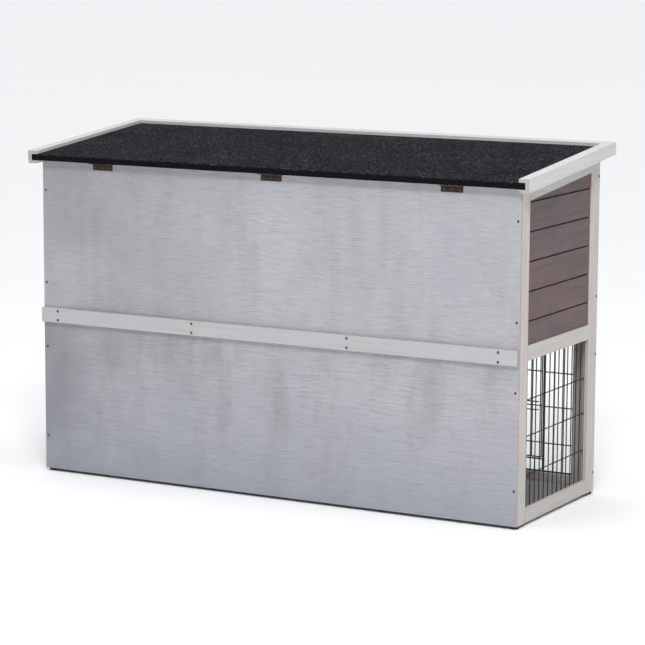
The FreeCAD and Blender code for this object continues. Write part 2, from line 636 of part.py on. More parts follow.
# ---------------------------------------------------------------- roof
def trim_section(x_out, x_in, length):
    """Grooved edge moulding drawn flat, running from y = -length to y = 0."""
    outer = bar(min(x_out, x_in), max(x_out, x_in), -length, 0, -TRIM_LOWER_FLANGE, TRIM_TOP, 1.2)
    web = x_out - TRIM_WEB if x_out > x_in else x_out + TRIM_WEB
    beyond = x_in - 10 if x_out > x_in else x_in + 10
    groove = block(min(web, beyond), max(web, beyond), -length - 1, 1, 0, ROOF_STACK)
    return outer.cut(groove)


def prism(points, low, high):
    """Upright prism over a closed outline of x, y points."""
    corners = [V(x, y, low) for x, y in points]
    face = Part.Face(Part.makePolygon(corners + corners[:1]))
    return face.extrude(V(0, 0, high - low))


def roof():
    length = ROOF_LENGTH
    low, high = -TRIM_LOWER_FLANGE - 1, TRIM_TOP + 1
    corner = (ROOF_HALF, -length)
    inward = (ROOF_HALF - 100, -length + 100)
    side_keep = prism([corner, inward, (inward[0], 1), (ROOF_HALF + 1, 1),
                       (ROOF_HALF + 1, -length - 1)], low, high)
    side = trim_section(ROOF_HALF, ROOF_HALF - TRIM_WIDTH, length).common(side_keep)
    save_pair("roof_trim", on_roof(side.Solids[0]))

    front = trim_section(length, length - TRIM_WIDTH, 2 * ROOF_HALF)
    front.rotate(V(0, 0, 0), V(0, 0, 1), -90)
    front.translate(V(ROOF_HALF, 0, 0))
    outline = [corner, inward, (-inward[0], inward[1]), (-corner[0], corner[1])]
    save("roof_trim_front", on_roof(front.common(prism(outline, low, high)).Solids[0]))

    edge = ROOF_HALF - TRIM_WEB
    board = block(-edge, edge, -length + TRIM_WEB, -FELT_THICK, 0, ROOF_BOARD_THICK)
    save("roof_board", on_roof(board))
    sheet = block(-edge, edge, -length + TRIM_WEB, 0, ROOF_BOARD_THICK, ROOF_STACK)
    turned_down = block(-edge, edge, -FELT_THICK, 0, 0, ROOF_BOARD_THICK)
    felt = weld([sheet, turned_down])
    nose = [e for e in felt.Edges if abs(e.Length - 2 * edge) < 0.01
            and abs(e.CenterOfMass.y) < 0.01 and abs(e.CenterOfMass.z - ROOF_STACK) < 0.01]
    save("roof_felt", on_roof(felt.makeFillet(2.0, nose)))


# ---------------------------------------------------------------- feet and screws
def feet():
    """Round plastic glides nailed under the four corners."""
    glides = []
    for side in (-1, 1):
        for y in (Y_FRONT + FOOT_INSET, Y_PANEL - FOOT_INSET):
            disc = Part.makeCylinder(FOOT_RADIUS, FOOT_HEIGHT, V(side * (HALF - FOOT_INSET), y, 0))
            rim = [edge for edge in disc.Edges if edge.Closed and edge.CenterOfMass.z < 0.1]
            glides.append(disc.makeChamfer(0.8, rim))
    save("foot_glides", *glides)


PANEL_SCREW_Z = (97.0, 342.0, 516.0, 764.0)
BATTEN_SCREW_X = (648.5, 229.0)
BATTEN_SCREW_STEP = 12.0
SIDE_SCREW_Z = (58.0, 371.0, 523.0, 834.0)
SIDE_SCREW_INSET = 8.0
LEAF_SCREW_STEPS = (-21.0, 0.0, 21.0)
LEAF_SCREW_INSET = 10.5


def screw(x, y, z, out, length):
    """Pan-head wood screw: head on the surface, shank running inwards."""
    head = Part.makeCylinder(SCREW_HEAD_RADIUS, SCREW_HEAD_HEIGHT, V(x, y, z), out)
    rims = [e for e in head.Edges if e.Closed and len(e.Vertexes) == 1]
    outer = [e for e in rims if (e.CenterOfMass - V(x, y, z)).Length > 1.0]
    shank = Part.makeCylinder(SCREW_SHANK_RADIUS, length, V(x, y, z), out * -1)
    return weld([head.makeFillet(0.7, outer), shank])


def screws(button_x, button_y, button_z):
    """Every screw driven into the body: panel, batten, side frames, buttons and fixed leaves."""
    back_out = V(0, 1, 0)
    front_out = V(0, -1, 0)
    found = []
    for side in (-1, 1):
        for z in PANEL_SCREW_Z:
            found.append(screw(side * (HALF - FRAME_THICK / 2), Y_BACK, z, back_out, 25))
        for x in BATTEN_SCREW_X:
            for z in (PANEL_SEAM - BATTEN_SCREW_STEP, PANEL_SEAM + BATTEN_SCREW_STEP):
                found.append(screw(side * x, Y_BACK + BATTEN_THICK, z, back_out, 16))
        for z in SIDE_SCREW_Z:
            found.append(screw(side * HALF, Y_FRONT + SIDE_SCREW_INSET, z, V(side, 0, 0), 30))
        found.append(screw(side * button_x, button_y - 0.3, button_z, front_out, 24))
        leaf_x = side * (DOOR_AXIS_X + LEAF_SCREW_INSET)
        for z in DOOR_HINGE_Z:
            for step in LEAF_SCREW_STEPS:
                found.append(screw(leaf_x, Y_FRONT - LEAF_THICK, z + step, front_out, 14))
    leaf_z = ROOF_PIVOT.z - LEAF_SCREW_INSET
    for x in ROOF_HINGE_X:
        for step in LEAF_SCREW_STEPS:
            found.append(screw(x + step, Y_BACK + LEAF_THICK, leaf_z, back_out, 16))
    save("frame_screws", *found)


def main():
    os.makedirs("parts", exist_ok=True)
    side_frames()
    side_cladding()
    side_mesh()
    back()
    front_frame()
    front_grids()
    wire_doors()
    grid_latches()
    front_mesh_center()
    roof_hinges()
    door_hinges()
    upper_doors()
    button = turn_buttons()
    floors()
    nest_partition()
    ramp()
    tray()
    roof()
    feet()
    screws(*button)


main()
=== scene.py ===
import json
import math

import bpy
from mathutils import Matrix, Vector, noise as space_noise


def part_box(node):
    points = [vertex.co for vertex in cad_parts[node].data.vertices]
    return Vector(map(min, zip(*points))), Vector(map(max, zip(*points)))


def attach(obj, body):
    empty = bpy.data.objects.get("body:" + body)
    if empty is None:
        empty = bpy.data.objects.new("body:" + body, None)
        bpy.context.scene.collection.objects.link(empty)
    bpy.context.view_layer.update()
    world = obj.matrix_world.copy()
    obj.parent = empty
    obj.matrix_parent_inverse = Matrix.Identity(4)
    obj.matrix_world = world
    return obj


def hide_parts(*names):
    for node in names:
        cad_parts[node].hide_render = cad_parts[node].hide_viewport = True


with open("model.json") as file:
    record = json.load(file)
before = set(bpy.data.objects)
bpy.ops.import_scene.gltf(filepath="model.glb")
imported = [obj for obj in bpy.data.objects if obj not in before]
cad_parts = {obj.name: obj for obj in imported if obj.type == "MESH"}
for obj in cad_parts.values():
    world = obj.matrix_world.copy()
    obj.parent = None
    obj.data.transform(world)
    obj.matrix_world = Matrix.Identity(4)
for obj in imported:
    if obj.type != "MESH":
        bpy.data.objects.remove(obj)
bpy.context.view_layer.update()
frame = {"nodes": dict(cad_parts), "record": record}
NODES = frame["nodes"]

X, Y, Z = range(3)
HAIR = 0.0001
FAR_OFF = 9.0


# ---------------------------------------------------------------- shader helpers
def new_material(name):
    material = bpy.data.materials.new(name)
    material.use_nodes = True
    tree = material.node_tree
    return material, tree, tree.nodes["Principled BSDF"]


def add(tree, kind, **values):
    node = tree.nodes.new(kind)
    for key, value in values.items():
        setattr(node, key, value)
    return node


def feed(tree, value, socket):
    if isinstance(value, bpy.types.NodeSocket):
        tree.links.new(value, socket)
    else:
        socket.default_value = value


def math_node(tree, operation, a, b=0.0):
    node = add(tree, "ShaderNodeMath", operation=operation)
    feed(tree, a, node.inputs[0])
    feed(tree, b, node.inputs[1])
    return node.outputs[0]


def noise(tree, vector, scale, detail=4.0, roughness=0.55, distortion=0.0):
    node = add(tree, "ShaderNodeTexNoise")
    tree.links.new(vector, node.inputs["Vector"])
    node.inputs["Scale"].default_value = scale
    node.inputs["Detail"].default_value = detail
    node.inputs["Roughness"].default_value = roughness
    node.inputs["Distortion"].default_value = distortion
    return node.outputs["Fac"]


def remap(tree, value, low, high, to_low=0.0, to_high=1.0):
    node = add(tree, "ShaderNodeMapRange")
    tree.links.new(value, node.inputs["Value"])
    node.inputs["From Min"].default_value = low
    node.inputs["From Max"].default_value = high
    node.inputs["To Min"].default_value = to_low
    node.inputs["To Max"].default_value = to_high
    return node.outputs["Result"]


def mix(tree, factor, a, b):
    """Blend of two colours, each of them a socket or plain RGB."""
    node = add(tree, "ShaderNodeMix", data_type="RGBA")
    feed(tree, factor, node.inputs["Factor"])
    feed(tree, a if isinstance(a, bpy.types.NodeSocket) else (*a, 1.0), node.inputs["A"])
    feed(tree, b if isinstance(b, bpy.types.NodeSocket) else (*b, 1.0), node.inputs["B"])
    return node.outputs["Result"]


def object_coords(tree):
    return add(tree, "ShaderNodeTexCoord").outputs["Object"]


def surface_normal(tree):
    return add(tree, "ShaderNodeTexCoord").outputs["Normal"]


def scaled(tree, vector, scale, location=(0, 0, 0)):
    node = add(tree, "ShaderNodeMapping")
    tree.links.new(vector, node.inputs["Vector"])
    node.inputs["Scale"].default_value = scale
    node.inputs["Location"].default_value = location
    return node.outputs["Vector"]


def grain_noise(tree, where, axis, lengthwise, across, shift=(0, 0, 0), detail=3.0,
                roughness=0.55, distortion=0.0):
    """Noise drawn out along axis: lengthwise and across are its scales each way, per metre."""
    scale = [across] * 3
    scale[axis] = lengthwise
    return noise(tree, scaled(tree, where, scale, shift), 1.0, detail, roughness, distortion)


def component(tree, vector, axis):
    node = add(tree, "ShaderNodeSeparateXYZ")
    tree.links.new(vector, node.inputs[0])
    return node.outputs[axis]


def bump(tree, height, strength, distance, bsdf):
    node = add(tree, "ShaderNodeBump")
    node.inputs["Strength"].default_value = strength
    node.inputs["Distance"].default_value = distance
    tree.links.new(height, node.inputs["Height"])
    tree.links.new(node.outputs["Normal"], bsdf.inputs["Normal"])


# ---------------------------------------------------------------- timber
WOOD_RELIEF = 0.0004
END_FACING = (0.85, 0.95)
END_RINGS = 420.0
END_DARKER = 0.62

RAW_PALE = (0.50, 0.36, 0.235)
RAW_SHADE = (0.36, 0.24, 0.145)
RAW_FIBRE = (0.24, 0.16, 0.10)


def painted_wood(name, axis, base, shade, end_colour, seed):
    """Thin paint on planed softwood: grain runs along axis, ends show bare brownish grain."""
    material, tree, bsdf = new_material(name)
    where = object_coords(tree)
    shift = (seed * 3.1, seed * 1.7, seed * 2.3)
    grain = grain_noise(tree, where, axis, 5.0, 170.0, shift, 6.0, 0.6, 0.4)
    fibres = grain_noise(tree, where, axis, 18.0, 700.0, shift)
    cloud = noise(tree, where, 7.0, 3.0)
    colour = mix(tree, remap(tree, grain, 0.38, 0.68), base, shade)
    colour = mix(tree, remap(tree, cloud, 0.45, 0.75, 0.0, 0.35), colour, shade)
    facing = math_node(tree, "ABSOLUTE", component(tree, surface_normal(tree), axis))
    rings = noise(tree, where, END_RINGS, 4.0)
    bare = mix(tree, rings, end_colour, tuple(END_DARKER * c for c in end_colour))
    colour = mix(tree, remap(tree, facing, *END_FACING), colour, bare)
    tree.links.new(colour, bsdf.inputs["Base Color"])
    tree.links.new(remap(tree, grain, 0.3, 0.7, 0.50, 0.66), bsdf.inputs["Roughness"])
    height = math_node(tree, "ADD", math_node(tree, "MULTIPLY", grain, 0.7), fibres)
    bump(tree, height, 0.22, WOOD_RELIEF, bsdf)
    return material


def raw_wood(tree, where, axis):
    """Colour of bare softwood or ply, left unpainted inside the hutch."""
    grain = grain_noise(tree, where, axis, 5.0, 110.0, detail=7.0, roughness=0.6, distortion=0.7)
    fibres = grain_noise(tree, where, axis, 25.0, 650.0)
    colour = mix(tree, remap(tree, grain, 0.34, 0.66), RAW_PALE, RAW_SHADE)
    return mix(tree, remap(tree, fibres, 0.50, 0.72, 0.0, 0.5), colour, RAW_FIBRE)


# ---------------------------------------------------------------- whitewashed ply
PLY_LIGHT = (0.464, 0.462, 0.490)
PLY_MIDDLE = (0.370, 0.364, 0.397)
PLY_PALE = (0.543, 0.540, 0.566)
PLY_COOL = (0.362, 0.378, 0.404)
PLY_WARM = (0.298, 0.265, 0.284)
PLY_PORE = (0.150, 0.145, 0.165)
# colour of the painted shade towards +X
PLY_PAINTED_SHADE = (0.200, 0.197, 0.222)
PLY_FOOT = (0.262, 0.287, 0.335)
PLY_DUST = (0.205, 0.205, 0.190)
PLY_EDGE_DARK = (0.34, 0.23, 0.17)
PLY_EDGE_PALE = (0.58, 0.46, 0.38)

PLY_BEND = 0.036
PLY_PAINTED_SHADE_REACH = 0.70
PLY_FOOT_HEIGHT = 0.30


def wandering(tree, where, axis, shift):
    """Coordinates bent a little across the grain, so that its streaks wander."""
    bend = grain_noise(tree, where, axis, 4.0, 6.0, shift, 2.0)
    sideways = add(tree, "ShaderNodeCombineXYZ")
    aside = sideways.inputs[Z if axis == X else X]
    tree.links.new(math_node(tree, "MULTIPLY", bend, PLY_BEND), aside)
    moved = add(tree, "ShaderNodeVectorMath", operation="ADD")
    tree.links.new(where, moved.inputs[0])
    tree.links.new(sideways.outputs[0], moved.inputs[1])
    return moved.outputs[0]


def whitewashed_ply(name, axis, seed, edge_at=FAR_OFF, inside_y=-FAR_OFF, wear_and_shade=0.3, dust=0.0):
    """Rotary-cut sheet under a sheer bluish wash: fine streaks and open pores along axis.

    Soft bands across the grain, stronger where wear_and_shade is high, let the warm wood show
    through.
    Painted shade darkens the sheet towards +X, broken up by cloud and stronger where wear_and_shade
    is high, and the sheet is darker and bluer near the ground. The sheet's left and right edges,
    edge_at from the middle, show its plies, and what lies in front of inside_y is left bare.
    A floor inside is also dusty.
    """
    material, tree, bsdf = new_material(name)
    where = object_coords(tree)
    shift = (seed * 2.7, seed * 4.1, seed * 1.3)
    wavy = wandering(tree, where, axis, shift)
    streak = grain_noise(tree, wavy, axis, 15.0, 320.0, shift, 5.0, 0.66, 0.2)
    fine = grain_noise(tree, wavy, axis, 30.0, 700.0, shift, 3.0, 0.6, 0.2)
    pores = grain_noise(tree, wavy, axis, 22.0, 520.0, shift, 2.0, 0.5, 0.1)
    band = grain_noise(tree, where, axis, 12.0, 3.2, shift, 4.0, 0.62)
    cool = grain_noise(tree, where, axis, 6.0, 3.0, shift, 4.0, 0.6)
    cloud = grain_noise(tree, where, axis, 2.4, 3.4, shift, 3.0, 0.6)

    colour = mix(tree, remap(tree, streak, 0.34, 0.68), PLY_LIGHT, PLY_MIDDLE)
    colour = mix(tree, remap(tree, cloud, 0.36, 0.68, 0.0, 0.5), colour, PLY_MIDDLE)
    colour = mix(tree, remap(tree, cool, 0.46, 0.66, 0.0, wear_and_shade), colour, PLY_COOL)
    colour = mix(tree, remap(tree, band, 0.46, 0.68, 0.0, wear_and_shade), colour, PLY_WARM)
    colour = mix(tree, remap(tree, fine, 0.36, 0.46, 0.40, 0.0), colour, PLY_PALE)
    pore_mask = remap(tree, pores, 0.54, 0.74, 0.0, 0.42)
    colour = mix(tree, pore_mask, colour, PLY_PORE)

    # Painted shade: the sheet is darkened towards +X, broken up by the cloud.
    painted_shade = remap(tree, component(tree, where, X), 0.0, PLY_PAINTED_SHADE_REACH, 0.0, 1.3 * wear_and_shade)
    painted_shade = math_node(tree, "MULTIPLY", painted_shade, remap(tree, cloud, 0.3, 0.6))
    colour = mix(tree, painted_shade, colour, PLY_PAINTED_SHADE)
    low = remap(tree, component(tree, where, Z), 0.0, PLY_FOOT_HEIGHT, wear_and_shade, 0.0)
    colour = mix(tree, low, colour, PLY_FOOT)
    dusty = math_node(tree, "MULTIPLY", remap(tree, cool, 0.30, 0.60, 0.7, 1.0), dust)
    colour = mix(tree, dusty, colour, PLY_DUST)

    from_middle = math_node(tree, "ABSOLUTE", component(tree, where, X))
    on_edge = remap(tree, from_middle, edge_at - 4 * HAIR, edge_at - 2 * HAIR)
    plies = noise(tree, scaled(tree, where, (8.0, 900.0, 30.0)), 1.0, 2.0)
    colour = mix(tree, on_edge, colour, mix(tree, plies, PLY_EDGE_DARK, PLY_EDGE_PALE))
    inside = remap(tree, component(tree, where, Y), inside_y, inside_y + 2 * HAIR, 1.0, 0.0)
    colour = mix(tree, inside, colour, raw_wood(tree, where, axis))
    tree.links.new(colour, bsdf.inputs["Base Color"])
    tree.links.new(remap(tree, streak, 0.3, 0.7, 0.55, 0.75), bsdf.inputs["Roughness"])
    height = math_node(tree, "SUBTRACT", streak, math_node(tree, "MULTIPLY", pore_mask, 1.2))
    bump(tree, height, 0.25, WOOD_RELIEF, bsdf)
    return material


# ---------------------------------------------------------------- stained cladding
STAIN_ROSY = (0.163, 0.102, 0.101)
STAIN_GREY = (0.120, 0.098, 0.094)
STAIN_DARK = (0.083, 0.060, 0.058)
STAIN_RUBBED = (0.189, 0.154, 0.154)
STAIN_DEEP = (0.102, 0.078, 0.079)
# dark brown painted shade for the grooves
GROOVE_PAINTED_SHADE = (0.072, 0.038, 0.034)

BOARD_FACE_DEPTH = 0.0015


def stained_cladding(name, grain_axis, depth_axis, face, back, seed):
    """Taupe stain over board grain; painted shade darkens the groove walls and bottoms, and the
    inner side is bare wood.

    face and back are the places of the board's two sides along depth_axis.
    """
    material, tree, bsdf = new_material(name)
    where = object_coords(tree)
    shift = (seed * 1.9, seed * 3.3, seed * 2.1)
    grain = grain_noise(tree, where, grain_axis, 7.0, 120.0, shift, 7.0, 0.65, 0.8)
    fibres = grain_noise(tree, where, grain_axis, 30.0, 600.0, shift)
    cloud = grain_noise(tree, where, grain_axis, 11.0, 8.0, shift, 3.0, 0.5)
    board = noise(tree, scaled(tree, where, (0.4, 0.4, 13.6), shift), 1.0, 0.0)
    colour = mix(tree, remap(tree, cloud, 0.38, 0.62), STAIN_ROSY, STAIN_GREY)
    colour = mix(tree, remap(tree, grain, 0.42, 0.78, 0.0, 0.30), colour, STAIN_DARK)
    colour = mix(tree, remap(tree, fibres, 0.35, 0.47, 0.16, 0.0), colour, STAIN_RUBBED)
    colour = mix(tree, remap(tree, board, 0.35, 0.65, 0.0, 0.22), colour, STAIN_DEEP)

    place = component(tree, where, depth_axis)
    if depth_axis == X:
        place = math_node(tree, "ABSOLUTE", place)
    outward = 1.0 if face > back else -1.0
    sunk = face - BOARD_FACE_DEPTH * outward
    # Painted shade: everything sunk below the board face, the groove walls and bottoms, is painted
    # dark brown.
    groove_shade = remap(tree, place, sunk, sunk + 5 * HAIR * outward, 1.0, 0.0)
    colour = mix(tree, groove_shade, colour, GROOVE_PAINTED_SHADE)
    inner = back + HAIR * outward
    behind = remap(tree, place, inner, inner + 4 * HAIR * outward, 1.0, 0.0)
    colour = mix(tree, behind, colour, raw_wood(tree, where, grain_axis))
    tree.links.new(colour, bsdf.inputs["Base Color"])
    tree.links.new(remap(tree, grain, 0.3, 0.7, 0.55, 0.78), bsdf.inputs["Roughness"])
    height = math_node(tree, "ADD", grain, math_node(tree, "MULTIPLY", fibres, 0.6))
    bump(tree, height, 0.3, WOOD_RELIEF, bsdf)
    return material


# ---------------------------------------------------------------- felt, metal and plastic
FELT_DARK = (0.002, 0.003, 0.004)
FELT_GREY = (0.011, 0.012, 0.015)
FELT_FLECK = (0.125, 0.131, 0.150)
# near-black painted shade for the rear-facing nose and lip
FELT_REAR_PAINTED_SHADE = (0.003, 0.003, 0.004)
FELT_GRIT = 340.0


def mineral_felt(name):
    """Bitumen felt with a bluish speckled mineral face; painted shade turns its rear-facing nose and
    lip near black.
    """
    material, tree, bsdf = new_material(name)
    where = object_coords(tree)
    grit = add(tree, "ShaderNodeTexVoronoi")
    tree.links.new(where, grit.inputs["Vector"])
    grit.inputs["Scale"].default_value = FELT_GRIT
    fleck = component(tree, grit.outputs["Color"], X)
    fine = noise(tree, where, 700.0, 2.0)
    clump = noise(tree, where, 150.0, 3.0, 0.7)
    cloud = noise(tree, where, 8.0, 5.0, 0.65)
    colour = mix(tree, remap(tree, clump, 0.40, 0.62), FELT_DARK, FELT_GREY)
    colour = mix(tree, remap(tree, fleck, 0.74, 0.96, 0.0, 0.75), colour, FELT_FLECK)
    colour = mix(tree, remap(tree, cloud, 0.36, 0.66, 0.45, 0.0), colour, FELT_DARK)
    # Painted shade: faces turned towards +Y, the rounded nose and lower lip, go near black with few
    # flecks.
    facing = component(tree, surface_normal(tree), Y)
    colour = mix(tree, remap(tree, facing, 0.60, 0.90, 0.0, 0.93), colour, FELT_REAR_PAINTED_SHADE)
    tree.links.new(colour, bsdf.inputs["Base Color"])
    tree.links.new(remap(tree, fine, 0.3, 0.7, 0.75, 0.98), bsdf.inputs["Roughness"])
    bsdf.inputs["Specular IOR Level"].default_value = 0.10
    height = math_node(tree, "ADD", grit.outputs["Distance"], fine)
    bump(tree, height, 0.6, 0.0009, bsdf)
    return material


def coated_metal(name, dark, light, scale, rough, metallic, relief):
    """Metal with a mottled coating: powder coat, antique bronze or zinc by its colours."""
    material, tree, bsdf = new_material(name)
    where = object_coords(tree)
    mottle = noise(tree, where, scale, 5.0, 0.6)
    peel = noise(tree, where, scale * 9.0, 2.0)
    rubs = noise(tree, scaled(tree, where, (1.0, 1.0, 6.0)), scale * 2.3, 6.0, 0.7)
    colour = mix(tree, remap(tree, mottle, 0.35, 0.68), dark, light)
    rubbed = tuple(1.7 * c for c in light)
    colour = mix(tree, remap(tree, rubs, 0.60, 0.75, 0.0, 0.5), colour, rubbed)
    tree.links.new(colour, bsdf.inputs["Base Color"])
    roughness = remap(tree, mottle, 0.3, 0.7, rough - 0.08, rough + 0.12)
    tree.links.new(roughness, bsdf.inputs["Roughness"])
    bsdf.inputs["Metallic"].default_value = metallic
    bump(tree, math_node(tree, "ADD", mottle, peel), relief, 0.0002, bsdf)
    return material


def moulded_plastic(name, colour_low, colour_high):
    """Finely grained plastic."""
    material, tree, bsdf = new_material(name)
    where = object_coords(tree)
    grain = noise(tree, where, 700.0, 3.0)
    cloud = noise(tree, where, 40.0, 3.0)
    colour = mix(tree, remap(tree, cloud, 0.35, 0.7), colour_low, colour_high)
    tree.links.new(colour, bsdf.inputs["Base Color"])
    tree.links.new(remap(tree, grain, 0.3, 0.7, 0.45, 0.65), bsdf.inputs["Roughness"])
    bump(tree, grain, 0.3, 0.0003, bsdf)
    return material


# ---------------------------------------------------------------- the hutch's materials
CREAM = (0.595, 0.557, 0.531)
CREAM_SHADE = (0.510, 0.468, 0.442)
TRIM_WHITE = (0.670, 0.665, 0.648)
TRIM_SHADE = (0.590, 0.586, 0.564)
BARE = (0.342, 0.223, 0.142)
BATTEN_WHITE = (0.475, 0.470, 0.475)
BATTEN_SHADE = (0.430, 0.422, 0.425)

PANEL_LOW, PANEL_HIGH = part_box("back_panel_upper")
PANEL_INSIDE = PANEL_LOW.y + HAIR
CLAD_SIDE_LOW, CLAD_SIDE_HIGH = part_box("side_cladding_right")
CLAD_DOOR_LOW, CLAD_DOOR_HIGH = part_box("door_cladding_right")
FLOOR_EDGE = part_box("upper_floor")[1].x
ROOF_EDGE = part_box("roof_board")[1].x

PAINT = [painted_wood("cream_paint_" + "xyz"[axis], axis, CREAM, CREAM_SHADE, BARE, axis + 1)
         for axis in (X, Y, Z)]
TRIM = [painted_wood("trim_paint_" + "xy"[axis], axis, TRIM_WHITE, TRIM_SHADE, CREAM_SHADE, axis + 5)
        for axis in (X, Y)]
BATTEN_PAINT = painted_wood("batten_paint", X, BATTEN_WHITE, BATTEN_SHADE, BATTEN_SHADE, 8)
# the last number sets both the worn bands and the painted shade towards +X
PLY_BACK_UPPER = whitewashed_ply("ply_back_upper", X, 1, PANEL_HIGH.x, PANEL_INSIDE, wear_and_shade=0.34)
PLY_BACK_LOWER = whitewashed_ply("ply_back_lower", X, 4, PANEL_HIGH.x, PANEL_INSIDE, wear_and_shade=0.60)
PLY_FLOOR = whitewashed_ply("ply_floor", X, 7, FLOOR_EDGE, dust=0.6)
PLY_ROOF = whitewashed_ply("ply_roof_board", X, 13, ROOF_EDGE, dust=0.3)
PLY_WALL = whitewashed_ply("ply_wall", Y, 9)
PLY_RAMP = whitewashed_ply("ply_ramp", Y, 11)
CLAD_SIDE = stained_cladding("cladding_side", Y, X, CLAD_SIDE_HIGH.x, CLAD_SIDE_LOW.x, 1)
CLAD_DOOR = stained_cladding("cladding_door", X, Y, CLAD_DOOR_LOW.y, CLAD_DOOR_HIGH.y, 3)
FELT = mineral_felt("roofing_felt")
WIRE = coated_metal("black_wire", (0.006, 0.006, 0.007), (0.016, 0.016, 0.018),
                    scale=60.0, rough=0.45, metallic=0.0, relief=0.15)
BRONZE = coated_metal("antique_bronze", (0.030, 0.020, 0.014), (0.075, 0.052, 0.034),
                      scale=130.0, rough=0.45, metallic=0.85, relief=0.3)
BRONZE_SCREW = coated_metal("bronze_screw", (0.075, 0.060, 0.044), (0.13, 0.105, 0.08),
                            scale=300.0, rough=0.40, metallic=0.85, relief=0.1)
ZINC = coated_metal("zinc_plate", (0.34, 0.34, 0.36), (0.50, 0.50, 0.53),
                    scale=90.0, rough=0.36, metallic=0.9, relief=0.15)
DARK_SCREW = coated_metal("dark_screw", (0.075, 0.08, 0.09), (0.13, 0.135, 0.15),
                          scale=300.0, rough=0.45, metallic=0.6, relief=0.1)
# near-black crosses of painted shade standing in for screw recesses
RECESS_PAINTED_SHADE = coated_metal("screw_recess_painted_shade", (0.02, 0.02, 0.02), (0.05, 0.05, 0.05),
                      scale=300.0, rough=0.6, metallic=0.5, relief=0.1)
PLASTIC = moulded_plastic("foot_plastic", (0.012, 0.012, 0.013), (0.026, 0.026, 0.028))

LOOKS = {
    "back_panel_upper": PLY_BACK_UPPER,
    "back_panel_lower": PLY_BACK_LOWER,
    "upper_floor": PLY_FLOOR,
    "lower_floor": PLY_FLOOR,
    "roof_board": PLY_ROOF,
    "nest_partition": PLY_WALL,
    "ramp": PLY_RAMP,
    "roof_felt": FELT,
    "frame_screws": DARK_SCREW,
    "tray_pan": ZINC,
    "ramp_rod": ZINC,
    "foot_glides": PLASTIC,
    "back_batten": BATTEN_PAINT,
    "back_inner_rails": PAINT[X],
}


def look_of(node):
    """The material of one CAD node: plain framing timber has grain along its longest side."""
    if node in LOOKS:
        return LOOKS[node]
    if node.startswith("roof_trim"):
        return TRIM[X if node.endswith("front") else Y]
    if "cladding" in node:
        return CLAD_SIDE if node.startswith("side") else CLAD_DOOR
    if "mesh" in node or "grid" in node:
        return WIRE
    if "hinge" in node:
        return BRONZE
    low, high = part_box(node)
    size = list(high - low)
    return PAINT[size.index(max(size))]


DOOR_STILE_WIDTH = 0.038


def grain_by_member(node, obj):
    """A door frame's stiles get upright grain and the rails between them level grain."""
    obj.data.materials.clear()
    obj.data.materials.append(PAINT[X])
    obj.data.materials.append(PAINT[Z])
    low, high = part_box(node)
    reach = DOOR_STILE_WIDTH + 2 * HAIR
    for face in obj.data.polygons:
        x = face.center.x
        face.material_index = 1 if x < low.x + reach or x > high.x - reach else 0


for name, obj in NODES.items():
    obj.data.materials.clear()
    obj.data.materials.append(look_of(name))
for name in ("door_frame_left", "door_frame_right"):
    grain_by_member(name, NODES[name])


# ---------------------------------------------------------------- mesh helpers
BOX_FACES = [(0, 1, 3, 2), (4, 6, 7, 5), (0, 4, 5, 1), (2, 3, 7, 6), (0, 2, 6, 4), (1, 5, 7, 3)]
DISC_SIDES = 20
DISC_LEVELS = ((0.0, 1.0), (0.5, 1.0), (1.0, 0.82))
UNITS = [Vector((1, 0, 0)), Vector((0, 1, 0)), Vector((0, 0, 1))]


def islands(obj):
    """Points of each separate solid of a node."""
    mesh = obj.data
    parent = list(range(len(mesh.vertices)))

    def root(i):
        while parent[i] != i:
            parent[i] = parent[parent[i]]
            i = parent[i]
        return i

    seen = {}
    for vertex in mesh.vertices:
        key = tuple(round(c, 6) for c in vertex.co)
        parent[root(vertex.index)] = root(seen.setdefault(key, vertex.index))
    for edge in mesh.edges:
        parent[root(edge.vertices[0])] = root(edge.vertices[1])
    groups = {}
    for vertex in mesh.vertices:
        groups.setdefault(root(vertex.index), []).append(vertex.co.copy())
    return list(groups.values())


def extent(points):
    low = Vector(min(p[i] for p in points) for i in range(3))
    high = Vector(max(p[i] for p in points) for i in range(3))
    return low, high


def mesh_object(name, vertices, faces, material):
    mesh = bpy.data.meshes.new(name)
    mesh.from_pydata(vertices, [], faces)
    mesh.update()
    mesh.materials.append(material)
    obj = bpy.data.objects.new(name, mesh)
    bpy.context.scene.collection.objects.link(obj)
    return obj


def add_box(vertices, faces, center, u, v, w):
    """Box with half-edge vectors u, v and w round a centre, appended to the lists."""
    start = len(vertices)
    for a in (-1, 1):
        for b in (-1, 1):
            for c in (-1, 1):
                vertices.append(tuple(center + u * a + v * b + w * c))
    faces.extend(tuple(start + i for i in face) for face in BOX_FACES)


def add_disc(vertices, faces, center, u, v, w):
    """Short cylinder with radius vectors u, v and a length vector w, with a bevelled rim."""
    start = len(vertices)
    for level, size in DISC_LEVELS:
        for i in range(DISC_SIDES):
            angle = 2 * math.pi * i / DISC_SIDES
            ring = u * math.cos(angle) * size + v * math.sin(angle) * size
            vertices.append(tuple(center + ring + w * level))
    for level in range(len(DISC_LEVELS) - 1):
        low = start + level * DISC_SIDES
        high = low + DISC_SIDES
        for i in range(DISC_SIDES):
            j = (i + 1) % DISC_SIDES
            faces.append((low + i, low + j, high + j, high + i))
    top = start + (len(DISC_LEVELS) - 1) * DISC_SIDES
    faces.append(tuple(top + i for i in range(DISC_SIDES)))
    faces.append(tuple(start + i for i in reversed(range(DISC_SIDES))))


